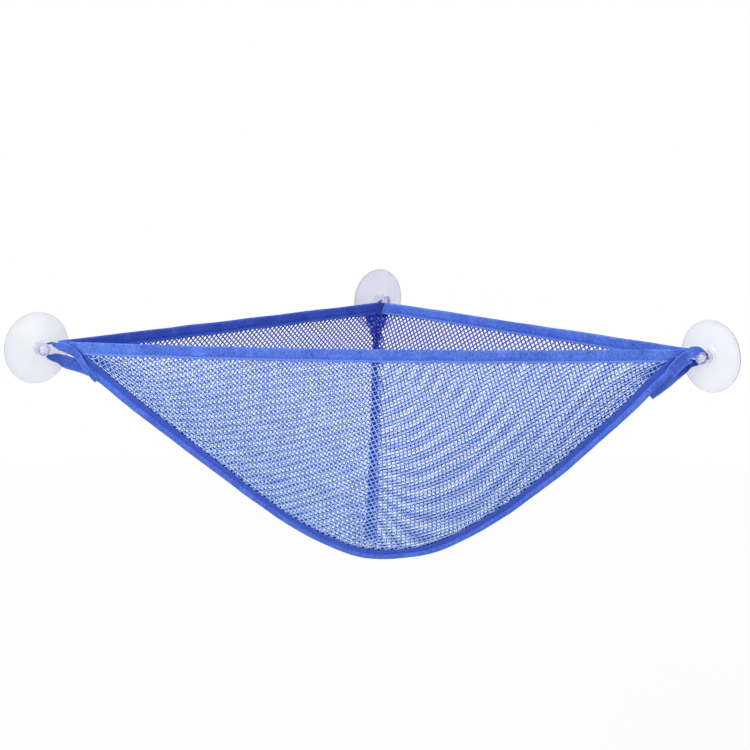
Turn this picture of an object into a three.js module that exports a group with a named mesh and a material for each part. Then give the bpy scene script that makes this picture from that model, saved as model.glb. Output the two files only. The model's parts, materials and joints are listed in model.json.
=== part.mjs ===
// A net bag for a bathroom corner, sewn from mesh and tape and hung on three clear suction cups.
// Millimetres, +Z up. The origin is where the two walls meet, at the height of the side cups' centres.
// The left wall runs from there to -X -Y and the right wall to +X -Y, so the bag's front faces -Y.
import * as THREE from "three";

// Rim of the bag: the front rim spans what the back rims reach to
const backRimLength = 322;
const frontRimSag = 3.5; // the loaded front rim hangs this much lower in its middle

// Bottom seam: straight down from each front corner, then rounded. The right side hangs fuller than the left.
const leftSeamSlope = 40.5; // degrees below the rim
const rightSeamSlope = 47.6; // degrees below the rim
const leftSeamStraight = 165;
const rightSeamStraight = 33;
const leftSeamRounding = 150; // how far each side keeps its slope on into the round
const rightSeamRounding = 250;
const seamSetback = 32; // of the rounded bottom, behind the front rim
const seamLean = 30; // degrees that the seam's tape leans forward at the bottom

// Cloth
const tapeWidth = 10; // finished width of the folded binding tape
const tapeThickness = 1;
const clearance = 0.3; // between pieces that touch

// Mesh, cut as a coarse grid of openings with bars between them
const netThickness = 0.8;
const netOpenings = 12; // from one front corner to the other
const netGap = 32; // height of an opening
const netBar = 7;
const netBorder = 6; // left whole beside the bottom seam's tape
const leastGap = 3; // where the border cuts an opening off lower than this, it stays closed
const netStart = 26; // the mesh begins this far along the seam from a front corner
const bellyAngle = 11; // degrees that the front mesh swells outwards below the rim
const wallAngle = 68; // slope of the back mesh below its rim, in degrees
const floorAngle = 24; // slope of the back mesh above the seam, in degrees
const netHandle = 0.34; // roundness of the mesh between rim and seam

// Strip of doubled mesh down the back corner
const stripWidth = 6.5;
const stripFlareWidth = 17;
const stripFlareLength = 26;
const stripThickness = 0.8;
const joinGap = 0.8; // between the two back meshes, under the strip

// Suction cups
const cupDiameter = 55;
const sealWidth = 4; // flat ring that meets the wall
const cupEdge = 0.9;
const hollowHeight = 2.6;
const domeHeight = 5;
const hubDiameter = 15;
const flangeDiameter = 10.5;
const flangeThickness = 1.2;
const neckDiameter = 6;
const neckLength = 4.8;
const headDiameter = 10;
const headHeight = 4.2;
const backCupRise = 4.3; // the back cup sits this much higher than the side cups
const backCupWallGap = 1.5; // from the back cup's edge to the right wall

// Tape loops. A side loop has a leg on each face of the bottom seam, the back loop one along each back rim.
const loopReach = 12; // from a corner of the bag to the middle of its cup's neck
const legLength = 40; // along the bottom seam
const backLegLength = 30; // along a back rim
const legTop = 2; // a leg runs straight to this far from the corner
const loopRoom = 2; // the rim's tapes end this far short of meeting at a corner
const legDrop = 1.5; // a leg's edge stands this much proud of the seam
const leftLipDrop = 13; // the leg on the back of the seam swings out this far below it at the corner
const rightLipDrop = 11.5;
const lipStep = 10; // along that leg
const loopPinch = 8; // the loop starts to close this far from the neck
const pinchHeight = 2.5; // of each run of tape there, from the neck's middle
const lipPinch = 5.5; // of a side loop's lower run there

// Thread
const threadDiameter = 0.6;
const stitchInset = 1.8; // from the open edge of the tape
const tackDiameter = 1.4;
const tackLength = 8.4;
const tackInset = 5; // from a leg's cut end

// Smoothness
const foldSteps = 2;
const rimSteps = 12;
const cupSegments = 32;
const curveSteps = 5;
const loopSteps = 48;
const threadSides = 6;
const threadSteps = 36;

const radians = THREE.MathUtils.degToRad;
const up = new THREE.Vector3(0, 0, 1);
const down = new THREE.Vector3(0, 0, -1);

// The point reached from a start by going the given distances along the given directions.
function from(start, ...moves) {
  const point = start.clone();
  for (const [direction, distance] of moves) {
    point.addScaledVector(direction, distance);
  }
  return point;
}

function unit(...moves) {
  return from(new THREE.Vector3(), ...moves).normalize();
}

function toward(start, end) {
  return end.clone().sub(start).normalize();
}

// What is left of a direction across a line.
function across(direction, line) {
  return from(direction, [line, -direction.dot(line)]).normalize();
}

function mesh(name, geometry, material) {
  const piece = new THREE.Mesh(geometry, material);
  piece.name = name;
  return piece;
}

const polyesterMesh = new THREE.MeshStandardMaterial({ color: 0x4f6fd8, roughness: 0.8, metalness: 0 });
const polyesterTape = new THREE.MeshStandardMaterial({ color: 0x3f5fce, roughness: 0.75, metalness: 0 });
const sewingThread = new THREE.MeshStandardMaterial({ color: 0x3450bb, roughness: 0.7, metalness: 0 });
const clearVinyl = new THREE.MeshStandardMaterial({
  color: 0xe8e8f6,
  roughness: 0.12,
  metalness: 0,
  transparent: true,
  opacity: 0.35,
});

// A solid through a row of rings with as many points each, counter-clockwise round the way they run,
// and closed at both ends by the given triangles.
function loft(rings, capFaces) {
  const size = rings[0].length;
  const index = [];
  for (let i = 0; i + 1 < rings.length; i++) {
    for (let j = 0; j < size; j++) {
      const a = i * size + j;
      const b = i * size + ((j + 1) % size);
      index.push(a, b, b + size, a, b + size, a + size);
    }
  }
  const last = (rings.length - 1) * size;
  for (const [a, b, c] of capFaces) {
    index.push(a, c, b, last + a, last + b, last + c);
  }
  const geometry = new THREE.BufferGeometry().setFromPoints(rings.flat());
  geometry.setIndex(index);
  geometry.computeVertexNormals();
  return geometry;
}

// A thin sheet through columns of points, each from its lower edge to its upper one.
function sheet(columns, thickness) {
  const rows = columns[0].length;
  const rings = columns.map((column, i) => {
    const next = columns[Math.min(i + 1, columns.length - 1)];
    const before = columns[Math.max(i - 1, 0)];
    const normals = column.map((point, j) => {
      const along = toward(before[j], next[j]);
      const rise = toward(column[Math.max(j - 1, 0)], column[Math.min(j + 1, rows - 1)]);
      return rise.cross(along).normalize();
    });
    const outer = column.map((point, j) => from(point, [normals[j], thickness / 2]));
    const inner = column.map((point, j) => from(point, [normals[j], -thickness / 2]));
    return [...outer, ...inner.reverse()];
  });
  const capFaces = [];
  for (let j = 0; j + 1 < rows; j++) {
    const facing = 2 * rows - 1 - j;
    capFaces.push([j, j + 1, facing - 1], [j, facing - 1, facing]);
  }
  return loft(rings, capFaces);
}

// A thin sheet through columns of points, as above, that leaves out the cells named open. A cell lies between
// a column and the next, and a row and the next. Rows of a column may meet in one point.
function openSheet(columns, thickness, open) {
  const rows = columns[0].length;
  const meets = (column, j) => j > 0 && column[j].distanceTo(column[j - 1]) < thickness / 100;
  const lowest = (column, j) => (meets(column, j) ? lowest(column, j - 1) : j);
  const highest = (column, j) => (j + 1 < rows && meets(column, j + 1) ? highest(column, j + 1) : j);
  const outer = [];
  const inner = [];
  const numbers = new Map();
  const corner = (i, j) => {
    const row = lowest(columns[i], j);
    const key = i * rows + row;
    if (!numbers.has(key)) {
      numbers.set(key, outer.length);
      const below = columns[i][Math.max(row - 1, 0)];
      const above = columns[i][Math.min(highest(columns[i], row) + 1, rows - 1)];
      const before = columns[Math.max(i - 1, 0)][row];
      const next = columns[Math.min(i + 1, columns.length - 1)][row];
      const normal = toward(below, above).cross(toward(before, next)).normalize();
      outer.push(from(columns[i][row], [normal, thickness / 2]));
      inner.push(from(columns[i][row], [normal, -thickness / 2]));
    }
    return numbers.get(key);
  };
  const faces = [];
  for (let i = 0; i + 1 < columns.length; i++) {
    for (let j = 0; j + 1 < rows; j++) {
      if (!open(i, j)) {
        const [a, b, c, d] = [corner(i, j), corner(i, j + 1), corner(i + 1, j + 1), corner(i + 1, j)];
        faces.push(...(a === b ? [] : [[a, b, c]]), ...(c === d ? [] : [[a, c, d]]));
      }
    }
  }
  const count = outer.length;
  const index = faces.flatMap(([a, b, c]) => [a, b, c, a + count, c + count, b + count]);
  const edges = new Set(faces.flatMap(([a, b, c]) => [`${a} ${b}`, `${b} ${c}`, `${c} ${a}`]));
  for (const edge of edges) {
    const [a, b] = edge.split(" ").map(Number);
    if (!edges.has(`${b} ${a}`)) {
      index.push(a + count, b + count, b, a + count, b, a);
    }
  }
  const geometry = new THREE.BufferGeometry().setFromPoints([...outer, ...inner]);
  geometry.setIndex(index);
  geometry.computeVertexNormals();
  return geometry;
}

// Cross-section of a tape folded over layers of mesh: its open edge at 0, its fold at the tape's width.
function foldedTape(inside) {
  const inner = inside / 2;
  const outer = inner + tapeThickness;
  const turn = tapeWidth - outer;
  const section = new THREE.Shape();
  section.moveTo(outer, 0);
  section.lineTo(outer, turn);
  section.absarc(0, turn, outer, 0, Math.PI, false);
  section.lineTo(-outer, 0);
  section.lineTo(-inner, 0);
  section.lineTo(-inner, turn);
  section.absarc(0, turn, inner, Math.PI, 0, true);
  section.lineTo(inner, 0);
  const points = section.getPoints(foldSteps);
  return points.filter((point, i) => i === 0 || point.distanceTo(points[i - 1]) > tapeThickness / 100);
}

// A ring of a folded tape. foldward points from the open edge to the fold.
function tapeRing(section, openEdge, along, foldward) {
  const sideways = foldward.clone().cross(along);
  return section.map((point) => from(openEdge, [sideways, point.x], [foldward, point.y]));
}

function thread(path, steps) {
  const circle = new THREE.EllipseCurve(0, 0, threadDiameter / 2, threadDiameter / 2);
  const section = new THREE.Shape(circle.getPoints(threadSides).slice(0, threadSides));
  return new THREE.ExtrudeGeometry(section, { steps, extrudePath: path, bevelEnabled: false });
}

// Suction cup, turned about its axis, with its seal at 0 and its head on top.
const flangeBottom = domeHeight;
const neckBottom = flangeBottom + flangeThickness;
const neckTop = neckBottom + neckLength;
const neckMiddle = neckBottom + neckLength / 2;

function cupGeometry() {
  const radius = cupDiameter / 2;
  const sealInner = radius - sealWidth;
  const hub = hubDiameter / 2;
  const head = headDiameter / 2;
  const profile = new THREE.Path();
  profile.moveTo(0, hollowHeight);
  profile.quadraticCurveTo(sealInner / 2, hollowHeight, sealInner, 0);
  profile.lineTo(radius, 0);
  profile.lineTo(radius, cupEdge);
  profile.quadraticCurveTo((radius + hub) / 2, cupEdge + hollowHeight / 2, hub, domeHeight - cupEdge);
  profile.quadraticCurveTo((hub + flangeDiameter / 2) / 2, domeHeight, flangeDiameter / 2, flangeBottom);
  profile.lineTo(flangeDiameter / 2, neckBottom);
  profile.lineTo(neckDiameter / 2, neckBottom);
  profile.lineTo(neckDiameter / 2, neckTop);
  profile.lineTo(head, neckTop);
  profile.quadraticCurveTo(head, neckTop + headHeight, 0, neckTop + headHeight);
  return new THREE.LatheGeometry(profile.getPoints(curveSteps), cupSegments);
}

// The walls, each as its direction away from the corner. Each is also the other wall's way into the room.
const leftWall = new THREE.Vector3(-1, -1, 0).normalize();
const rightWall = new THREE.Vector3(1, -1, 0).normalize();
const intoRoom = unit([leftWall, 1], [rightWall, 1]);
const corner = new THREE.Vector3();

// The back cup is on the left wall, next to the corner, and its loop holds the bag's back corner before it.
const backFoot = from(corner, [leftWall, cupDiameter / 2 + backCupWallGap], [up, backCupRise]);
const backNeck = from(backFoot, [rightWall, neckMiddle]);
const backCorner = from(backNeck, [intoRoom, loopReach], [down, backCupRise]);

// The back rims reach from there to a line along each wall, as far off it as the necks of the cups.
function rimReach(wall, offWall) {
  const start = backCorner.dot(offWall) - neckMiddle;
  const reach = backCorner.dot(wall) + Math.sqrt(backRimLength ** 2 - start ** 2);
  return from(corner, [wall, reach], [offWall, neckMiddle]);
}

const leftCorner = rimReach(leftWall, rightWall);
const rightCorner = rimReach(rightWall, leftWall);
const frontRimLength = leftCorner.distanceTo(rightCorner);
const frontMiddle = leftCorner.clone().lerp(rightCorner, 0.5);
const rimway = toward(leftCorner, rightCorner);
const backward = up.clone().cross(rimway);
const forward = backward.clone().negate();

const frontRim = new THREE.QuadraticBezierCurve3(
  leftCorner,
  from(frontMiddle, [down, 2 * frontRimSag]),
  rightCorner,
);
const leftRim = new THREE.LineCurve3(leftCorner, backCorner);
const rightRim = new THREE.LineCurve3(backCorner, rightCorner);

// The bottom seam, along the outer edge of its tape: a rounded V under the front rim, set back at the bottom
function seamWay(slope, run) {
  return unit([run, Math.cos(radians(slope))], [down, Math.sin(radians(slope))]);
}

const leftWay = seamWay(leftSeamSlope, rimway);
const rightWay = seamWay(rightSeamSlope, rimway.clone().negate());
const leftBend = from(leftCorner, [leftWay, leftSeamStraight]);
const rightBend = from(rightCorner, [rightWay, rightSeamStraight]);
const leftHandle = from(leftBend, [leftWay, leftSeamRounding]);
const rightHandle = from(rightBend, [rightWay, rightSeamRounding]);
const roundedV = new THREE.CurvePath();
roundedV.add(new THREE.LineCurve3(leftCorner, leftBend));
roundedV.add(new THREE.CubicBezierCurve3(leftBend, leftHandle, rightHandle, rightBend));
roundedV.add(new THREE.LineCurve3(rightBend, rightCorner));
const seam = new THREE.Curve();
seam.getPoint = (share) => {
  const setback = seamSetback * Math.sin(Math.PI * share) ** 2;
  return from(roundedV.getPointAt(share), [backward, setback]);
};
const seamLength = seam.getLength();

// Shares of the seam's length at the sides and middles of the mesh's openings, and at the back corner.
const netMargin = netStart / seamLength;
const barShare = netBar / seamLength;
const pitchShare = (1 - 2 * netMargin - barShare) / netOpenings;
const joinShare = joinGap / seamLength;
const netShares = [];
for (let i = 0; i <= netOpenings; i++) {
  const bar = netMargin + i * pitchShare;
  netShares.push(bar, bar + barShare, bar + (barShare + pitchShare) / 2);
}
netShares.pop();
const leftShares = netShares.filter((share) => share < 0.5 - joinShare);
const rightShares = netShares.filter((share) => share > 0.5 + joinShare);
const seamShares = [...leftShares, 0.5, ...rightShares];

// The seam's frame at a share of its length: inward across the tape, and back through it.
function seamFrame(share) {
  const point = seam.getPoint(share);
  const along = seam.getTangent(share);
  const lean = radians(seamLean) * Math.sin(Math.PI * share);
  const inward = across(unit([forward, Math.sin(lean)], [up, Math.cos(lean)]), along);
  const back = inward.clone().cross(along);
  return { point, along, inward, back };
}

// Tape thicknesses when folded over one mesh at the rim, and over two at the seam
const rimInside = netThickness + 2 * clearance;
const seamInside = 2 * netThickness + 3 * clearance;
const rimHalf = rimInside / 2 + tapeThickness;
const seamHalf = seamInside / 2 + tapeThickness;
const netPlace = (netThickness + clearance) / 2; // of each mesh from the middle of the seam
const pastTape = netThickness + clearance; // from the open edge to where the mesh bends freely

const bag = new THREE.Group();

// Rim bindings, square-ended where they would meet at the corners
function endGap(first, second) {
  const half = first.angleTo(second) / 2;
  return rimHalf / Math.tan(half) + loopRoom;
}

const leftToBack = toward(leftCorner, backCorner);
const backToRight = toward(backCorner, rightCorner);
const rightToBack = backToRight.clone().negate();
const backToLeft = leftToBack.clone().negate();
const leftGap = endGap(rimway, leftToBack);
const rightGap = endGap(rimway.clone().negate(), rightToBack);
const backGap = endGap(backToLeft, backToRight);

function rimBinding(rim, startGap, endGapHere, steps) {
  const section = foldedTape(rimInside);
  const capFaces = THREE.ShapeUtils.triangulateShape(section, []);
  const length = rim.getLength();
  const rings = [];
  for (let i = 0; i <= steps; i++) {
    const share = (startGap + ((length - startGap - endGapHere) * i) / steps) / length;
    const along = rim.getTangent(share);
    const foldward = across(up, along);
    const openEdge = from(rim.getPoint(share), [foldward, -tapeWidth / 2]);
    rings.push(tapeRing(section, openEdge, along, foldward));
  }
  return loft(rings, capFaces);
}

bag.add(mesh("front_rim_binding", rimBinding(frontRim, leftGap, rightGap, rimSteps), polyesterTape));
bag.add(mesh("left_rim_binding", rimBinding(leftRim, leftGap, backGap, 1), polyesterTape));
bag.add(mesh("right_rim_binding", rimBinding(rightRim, backGap, rightGap, 1), polyesterTape));

// Bottom seam binding, its two ends cut level just under the rim
function seamBinding() {
  const section = foldedTape(seamInside);
  const capFaces = THREE.ShapeUtils.triangulateShape(section, []);
  const rimLevel = frontRim.getPoint(netStart / frontRimLength).z;
  const cutLevel = rimLevel - tapeWidth / 2 - clearance;
  const ring = (share) => {
    const { point, along, inward } = seamFrame(share);
    const openEdge = from(point, [inward, tapeWidth]);
    return tapeRing(section, openEdge, along, inward.clone().negate());
  };
  const cutRing = (share) => {
    const { along } = seamFrame(share);
    return ring(share).map((point) => from(point, [along, (cutLevel - point.z) / along.z]));
  };
  return loft([cutRing(0), ...seamShares.map(ring), cutRing(1)], capFaces);
}

bag.add(mesh("bottom_seam_binding", seamBinding(), polyesterTape));

// Where a column of mesh leaves the seam's tape and the rim's tape
function seamExit(frame, side) {
  return from(frame.point, [frame.inward, tapeWidth + pastTape], [frame.back, side * netPlace]);
}

function rimExit(rimPoint) {
  return from(rimPoint, [down, tapeWidth / 2 + pastTape]);
}

// Heights of the rows of a mesh, from the seam up to the rim, as distances down from where it leaves the rim
const rowPitch = netGap + netBar;

function rowDrops(longest) {
  const drops = [];
  for (let row = Math.ceil(longest / rowPitch); row > 0; row--) {
    drops.push(row * rowPitch, row * rowPitch - netGap / 2, row * rowPitch - netGap);
  }
  return [...drops, 0];
}

// Those rows on one column, cut off by the border beside the seam. A short column is half border.
function cutDrops(length, drops) {
  const lowest = Math.max(length - netBorder, length / 2);
  return drops.map((drop) => (drop > 0 && drop + leastGap > lowest ? lowest : drop));
}

// A mesh along shares of the seam. side is -1 on its front face and 1 on its back face.
function net(shares, columnAt, side) {
  const parts = shares.map(columnAt);
  const lengths = parts.map(({ span }) => span.getLength());
  const drops = rowDrops(Math.max(...lengths));
  const cut = lengths.map((length) => cutDrops(length, drops));
  const columns = parts.map(({ frame, rimPoint, span }, i) => [
    from(frame.point, [frame.inward, seamHalf + clearance], [frame.back, side * netPlace]),
    span.getPoint(0),
    ...cut[i].map((drop) => span.getPointAt(1 - drop / lengths[i])),
    from(rimPoint, [up, tapeWidth / 2 - rimHalf - clearance]),
  ]);
  const open = (i, j) => {
    const share = (shares[i] + shares[i + 1]) / 2 - netMargin;
    const drop = (drops[j - 2] + drops[j - 1]) / 2; // the first two points of a column are below its rows
    const barTop = Math.floor(drop / rowPitch) * rowPitch;
    const barHolds = cut[i].includes(barTop) && cut[i + 1].includes(barTop);
    return barHolds && share % pitchShare > barShare && drop % rowPitch > netBar;
  };
  return openSheet(columns, netThickness, open);
}

// Front mesh: it swells out under the rim and curves in to the seam.
function frontColumn(share) {
  const frame = seamFrame(share);
  const bottom = seamExit(frame, -1);
  const rimPoint = frontRim.getPoint(bottom.clone().sub(leftCorner).dot(rimway) / frontRimLength);
  const top = rimExit(rimPoint);
  const reach = netHandle * bottom.distanceTo(top);
  const swell = radians(bellyAngle) * Math.sin(Math.PI * share);
  const span = new THREE.CubicBezierCurve3(
    bottom,
    from(bottom, [frame.inward, reach]),
    from(top, [down, reach * Math.cos(swell)], [forward, reach * Math.sin(swell)]),
    top,
  );
  return { frame, rimPoint, span };
}

// Back meshes: from the seam they run back as the bag's floor and climb to the rim along each wall.
function backRimPoint(share) {
  return share < 0.5 ? leftRim.getPoint(2 * share) : rightRim.getPoint(2 * share - 1);
}

function backSpan(share) {
  const bottom = seamExit(seamFrame(share), 1);
  const top = rimExit(backRimPoint(share));
  const reach = netHandle * bottom.distanceTo(top);
  const level = toward(bottom, new THREE.Vector3(top.x, top.y, bottom.z));
  const floor = radians(floorAngle);
  const wall = radians(wallAngle);
  return new THREE.CubicBezierCurve3(
    bottom,
    from(bottom, [level, reach * Math.cos(floor)], [up, reach * Math.sin(floor)]),
    from(top, [level, -reach * Math.cos(wall)], [down, reach * Math.sin(wall)]),
    top,
  );
}

function backColumn(share) {
  return { frame: seamFrame(share), rimPoint: backRimPoint(share), span: backSpan(share) };
}

bag.add(mesh("front_net", net(seamShares, frontColumn, -1), polyesterMesh));
bag.add(mesh("left_net", net([...leftShares, 0.5 - joinShare], backColumn, 1), polyesterMesh));
bag.add(mesh("right_net", net([0.5 + joinShare, ...rightShares], backColumn, 1), polyesterMesh));

// Back corner seam: a strip of doubled mesh inside the corner, flared at the rim, and its stitching.
// Its rows are those of the meshes under it.
const cornerSpan = backSpan(0.5);
const cornerLength = cornerSpan.getLength();

function cornerRow(drop, lift) {
  const height = 1 - drop / cornerLength;
  const flare = 1 - THREE.MathUtils.smoothstep(drop, 0, stripFlareLength);
  const width = THREE.MathUtils.lerp(stripWidth, stripFlareWidth, flare);
  const perShare = THREE.MathUtils.lerp(seamLength, 2 * backRimLength, height);
  const middle = cornerSpan.getPointAt(height);
  const rise = cornerSpan.getTangentAt(height);
  const sides = [-1, 1].map((side) => {
    const edge = backSpan(0.5 + (side * width) / 2 / perShare).getPointAt(height);
    const along = toward(middle, edge).multiplyScalar(side);
    return { edge, inward: along.cross(rise).normalize() };
  });
  const inward = unit([sides[0].inward, 1], [sides[1].inward, 1]);
  return [
    from(sides[0].edge, [sides[0].inward, lift]),
    from(middle, [inward, lift / inward.dot(sides[0].inward)]),
    from(sides[1].edge, [sides[1].inward, lift]),
  ];
}

function cornerRows(lift) {
  const drops = rowDrops(cornerLength).filter((drop) => drop + leastGap < cornerLength - netBorder);
  return drops.map((drop) => cornerRow(drop, lift));
}

const stripLift = netThickness / 2 + clearance + stripThickness / 2;
const stripRows = cornerRows(stripLift);
const stripColumns = [0, 1, 2].map((side) => stripRows.map((row) => row[side]));
bag.add(mesh("corner_seam", sheet(stripColumns, stripThickness), polyesterMesh));

const threadLift = clearance + threadDiameter / 2;
const cornerStitches = cornerRows(stripLift + stripThickness / 2 + threadLift).map((row) => row[1]);
const cornerPath = new THREE.CatmullRomCurve3(cornerStitches);
bag.add(mesh("corner_seam_stitching", thread(cornerPath, threadSteps), sewingThread));

// Rows of stitches along the bindings: on the outside at the front, on the inside at the back
function rimStitches(rim, name, side, startGap, endGapHere, steps) {
  const length = rim.getLength();
  const points = [];
  for (let i = 0; i <= steps; i++) {
    const share = (startGap + ((length - startGap - endGapHere) * i) / steps) / length;
    const inside = rim.getTangent(share).cross(up).normalize();
    const level = tapeWidth / 2 - stitchInset;
    points.push(from(rim.getPoint(share), [down, level], [inside, side * (rimHalf + threadLift)]));
  }
  const path = steps > 1 ? new THREE.CatmullRomCurve3(points) : new THREE.LineCurve3(...points);
  bag.add(mesh(name, thread(path, steps), sewingThread));
}

const besideLegs = legLength; // the rows at the front corners start clear of the loops' legs
rimStitches(frontRim, "front_rim_stitching", 1, besideLegs, besideLegs, rimSteps);
rimStitches(leftRim, "left_rim_stitching", 1, netStart, stripFlareWidth, 1);
rimStitches(rightRim, "right_rim_stitching", 1, stripFlareWidth, netStart, 1);

const seamStitches = [];
for (let i = 0; i <= threadSteps; i++) {
  const margin = (legLength + tapeWidth) / seamLength;
  const { point, inward, back } = seamFrame(margin + ((1 - 2 * margin) * i) / threadSteps);
  seamStitches.push(from(point, [inward, tapeWidth - stitchInset], [back, -seamHalf - threadLift]));
}
const seamPath = new THREE.CatmullRomCurve3(seamStitches);
bag.add(mesh("bottom_seam_stitching", thread(seamPath, threadSteps), sewingThread));

// A tape through stations, each a point, the direction across the tape there, and its width there.
function tape(stations) {
  const path = new THREE.CatmullRomCurve3(stations.map((station) => station.point));
  const rings = [];
  for (let i = 0; i <= loopSteps; i++) {
    const share = i / loopSteps;
    const place = Math.min(share * (stations.length - 1), stations.length - 1.001);
    const before = stations[Math.floor(place)];
    const after = stations[Math.floor(place) + 1];
    const mix = place - Math.floor(place);
    const along = path.getTangent(share);
    const wide = across(unit([before.across, 1 - mix], [after.across, mix]), along);
    const thick = wide.clone().cross(along);
    const halfWidth = THREE.MathUtils.lerp(before.width, after.width, mix) / 2;
    const halfThickness = tapeThickness / 2;
    const middle = path.getPoint(share);
    rings.push([
      from(middle, [thick, -halfThickness], [wide, -halfWidth]),
      from(middle, [thick, halfThickness], [wide, -halfWidth]),
      from(middle, [thick, halfThickness], [wide, halfWidth]),
      from(middle, [thick, -halfThickness], [wide, halfWidth]),
    ]);
  }
  return loft(rings, [
    [0, 1, 2],
    [0, 2, 3],
  ]);
}

// A straight leg, from its cut end to the bag's corner. station gives its place at a distance from the corner.
function leg(station, length) {
  return [length, length / 2, legTop + tapeWidth / 2, legTop].map(station);
}

// On a face of the seam's tape, the front at -1 or the back at 1, and dropped out past the fold
function seamLegStation(end, distance, side, drop) {
  const share = Math.abs(end - distance / seamLength);
  const { point, inward, back } = seamFrame(share);
  const outside = back.clone().multiplyScalar(side);
  const middle = from(point, [inward, tapeWidth / 2 - drop], [outside, legLift]);
  return { point: middle, across: inward, outside, width: tapeWidth };
}

// On the outside of a back rim
function rimLegStation(run, outside, distance) {
  const middle = from(backCorner, [run, distance], [outside, rimLegLift]);
  return { point: middle, across: up, outside, width: tapeWidth };
}

// The loop round a neck: over it, round its far side and back under it to a given depth.
function neckTurn(neck, axis, outward, depth) {
  const ring = neckDiameter / 2 + clearance + tapeThickness / 2;
  const gathered = neckLength - 4 * clearance;
  const diagonal = unit([outward, 1], [up, 1]);
  const lowDiagonal = unit([outward, 1], [down, 1]);
  const points = [
    from(neck, [outward, -loopPinch], [up, pinchHeight]),
    from(neck, [up, ring]),
    from(neck, [diagonal, ring]),
    from(neck, [outward, ring]),
    from(neck, [lowDiagonal, ring]),
    from(neck, [down, ring]),
    from(neck, [outward, -loopPinch], [down, depth]),
  ];
  return points.map((point) => ({ point, across: axis, width: gathered }));
}

const legLift = seamHalf + clearance + tapeThickness / 2;
const rimLegLift = rimHalf + clearance + tapeThickness / 2;

function tack(name, station) {
  const geometry = new THREE.CapsuleGeometry(tackDiameter / 2, tackLength - tackDiameter, 4, 8);
  const piece = mesh(name, geometry, sewingThread);
  const lift = tapeThickness / 2 + clearance + tackDiameter / 2;
  piece.position.copy(from(station.point, [station.outside, lift]));
  piece.quaternion.setFromUnitVectors(new THREE.Vector3(0, 1, 0), station.across);
  bag.add(piece);
}

function cup(name, foot, axis) {
  const piece = mesh(name, cupGeometry(), clearVinyl);
  piece.position.copy(foot);
  piece.quaternion.setFromUnitVectors(new THREE.Vector3(0, 1, 0), axis);
  bag.add(piece);
}

// A front corner: its cup on the wall, and its loop, whose lower run hangs as a lip below the corner
function frontCorner(side, start, end, wall, axis, lipDrop) {
  const foot = from(corner, [wall, start.dot(wall) + loopReach]);
  const neck = from(foot, [axis, neckMiddle]);
  const frontLeg = (distance) => seamLegStation(end, distance, -1, legDrop);
  const stations = [...leg(frontLeg, legLength), ...neckTurn(neck, axis.clone().negate(), wall, lipPinch)];
  for (let distance = lipStep; distance <= legLength; distance += lipStep) {
    const drop = THREE.MathUtils.lerp(lipDrop, legDrop, distance / legLength);
    stations.push(seamLegStation(end, distance, 1, drop));
  }
  bag.add(mesh(side + "_loop", tape(stations), polyesterTape));
  tack(side + "_loop_tack", frontLeg(legLength - tackInset));
  cup(side + "_cup", foot, axis);
}

frontCorner("left", leftCorner, 0, leftWall, rightWall, leftLipDrop);
frontCorner("right", rightCorner, 1, rightWall, leftWall, rightLipDrop);

// The back corner: its cup, and its loop with a leg along the outside of each back rim
const leftOutside = up.clone().cross(leftToBack);
const rightOutside = up.clone().cross(backToRight);
const leftLeg = (distance) => rimLegStation(backToLeft, leftOutside, distance);
const rightLeg = (distance) => rimLegStation(backToRight, rightOutside, distance);
const backStations = [
  ...leg(leftLeg, backLegLength),
  ...neckTurn(backNeck, rightWall, leftWall.clone().negate(), pinchHeight),
  ...leg(rightLeg, backLegLength).reverse(),
];
bag.add(mesh("back_loop", tape(backStations), polyesterTape));
tack("back_loop_left_tack", leftLeg(backLegLength - tackInset));
tack("back_loop_right_tack", rightLeg(backLegLength - tackInset));
cup("back_cup", backFoot, rightWall);

export default bag;
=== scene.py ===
import json
import math

import bmesh
import bpy
from mathutils import Matrix, Vector, noise
from mathutils.bvhtree import BVHTree
from mathutils.geometry import barycentric_transform, interpolate_bezier


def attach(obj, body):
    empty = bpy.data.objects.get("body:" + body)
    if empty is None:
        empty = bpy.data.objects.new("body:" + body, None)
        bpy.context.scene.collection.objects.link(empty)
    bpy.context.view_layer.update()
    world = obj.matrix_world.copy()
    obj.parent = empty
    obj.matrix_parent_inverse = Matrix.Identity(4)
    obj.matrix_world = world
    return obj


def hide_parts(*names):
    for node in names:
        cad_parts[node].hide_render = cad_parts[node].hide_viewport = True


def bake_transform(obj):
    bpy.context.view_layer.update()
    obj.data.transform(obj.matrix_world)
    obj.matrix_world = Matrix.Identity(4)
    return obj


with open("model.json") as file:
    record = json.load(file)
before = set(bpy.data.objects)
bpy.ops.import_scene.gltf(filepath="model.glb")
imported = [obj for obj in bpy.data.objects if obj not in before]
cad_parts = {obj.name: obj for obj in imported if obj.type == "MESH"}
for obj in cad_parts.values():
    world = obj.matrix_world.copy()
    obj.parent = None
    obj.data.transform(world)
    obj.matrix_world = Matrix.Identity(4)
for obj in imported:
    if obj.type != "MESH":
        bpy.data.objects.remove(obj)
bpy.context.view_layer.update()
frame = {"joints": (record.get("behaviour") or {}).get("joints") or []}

mm = 0.001
up = Vector((0, 0, 1))
noise.seed_set(3)  # the same slack in every run
joints = {joint["name"]: joint for joint in frame["joints"]}
scene = bpy.context.scene
scene.view_settings.view_transform = "Standard"


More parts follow.
